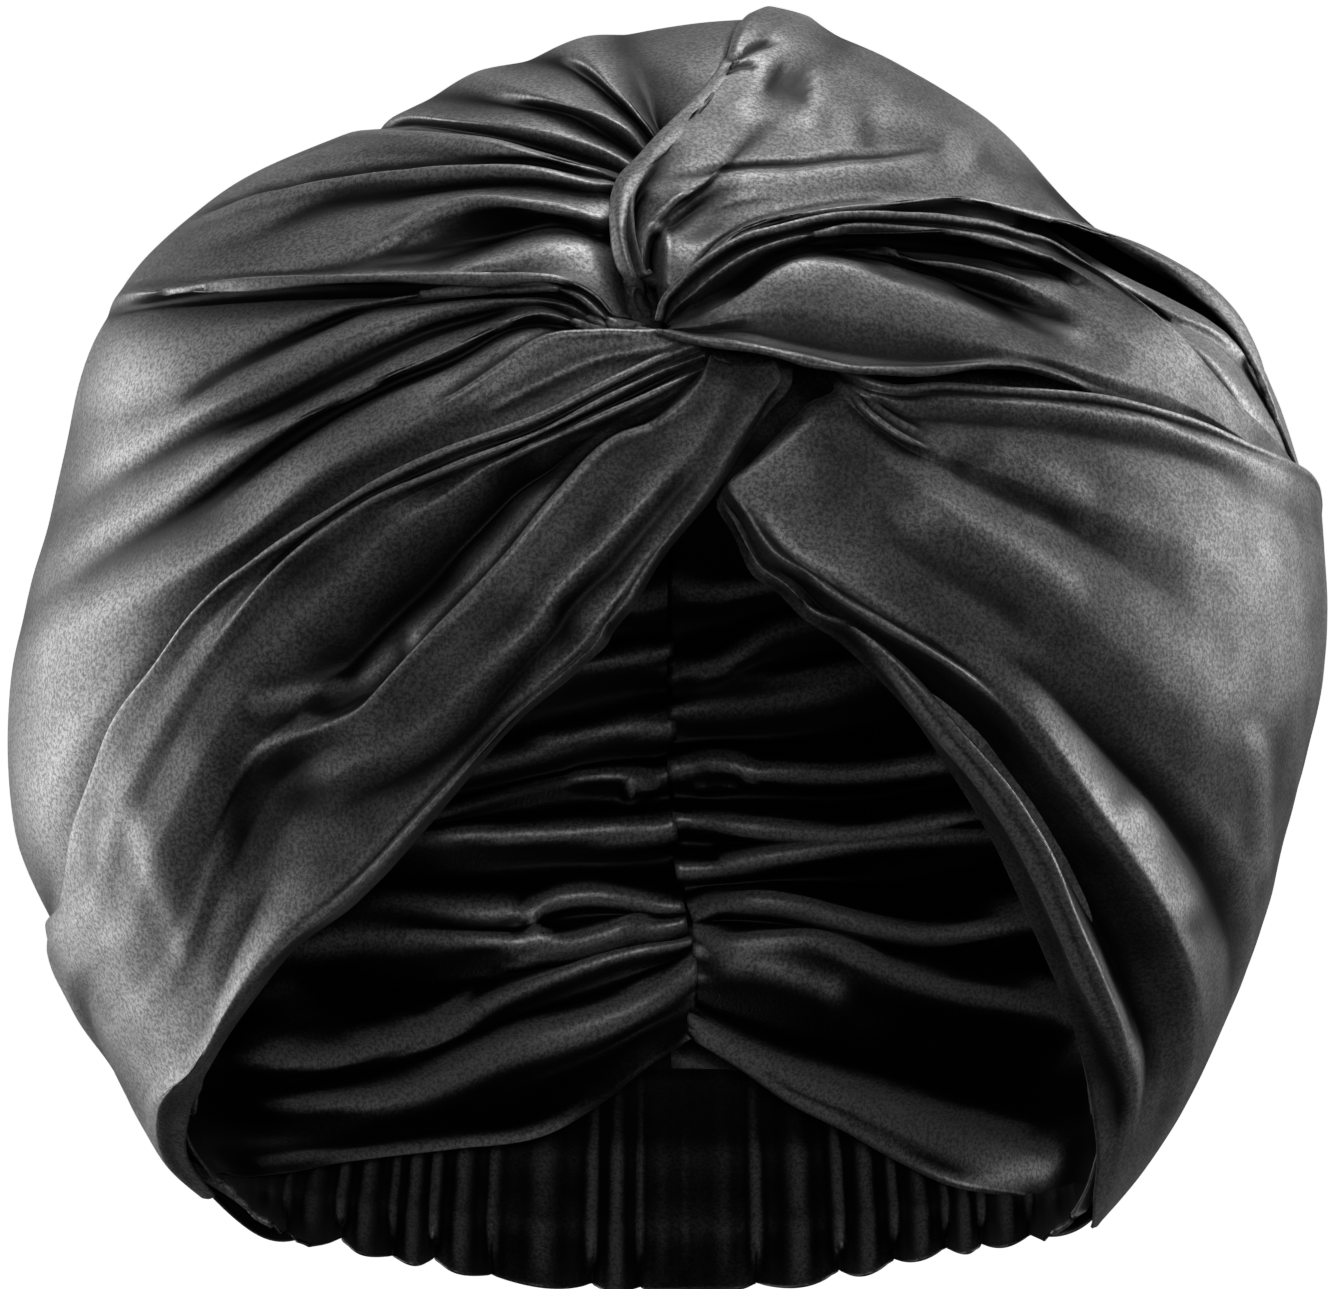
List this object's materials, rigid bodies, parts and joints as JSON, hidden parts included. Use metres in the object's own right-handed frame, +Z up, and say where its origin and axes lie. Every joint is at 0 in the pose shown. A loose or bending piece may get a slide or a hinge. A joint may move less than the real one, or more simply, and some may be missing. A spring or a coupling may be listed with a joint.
{
  "type": "twisted turban shower cap",
  "caption": "Black satin shower cap in twisted turban style: pleated crown, crossed front bands, satin lining with a ruched back seam and a gathered nape.",
  "frame": {"origin": "centre of the head opening, level with the lower corners of the two front bands", "axes": "+Z up, -Y towards the front knot, +X to the left ear of the wearer"},
  "size_m": [0.2461, 0.2169, 0.2443],
  "materials": {
    "satin": "satin",
    "lining_satin": "satin"
  },
  "bodies": {
    "root": {"crown_left": "satin", "crown_right": "satin", "wrap_right": "satin", "band_left": "satin", "band_right": "satin", "lining_left": "lining_satin", "lining_right": "lining_satin", "nape_casing": "satin"}
  },
  "joints": []
}
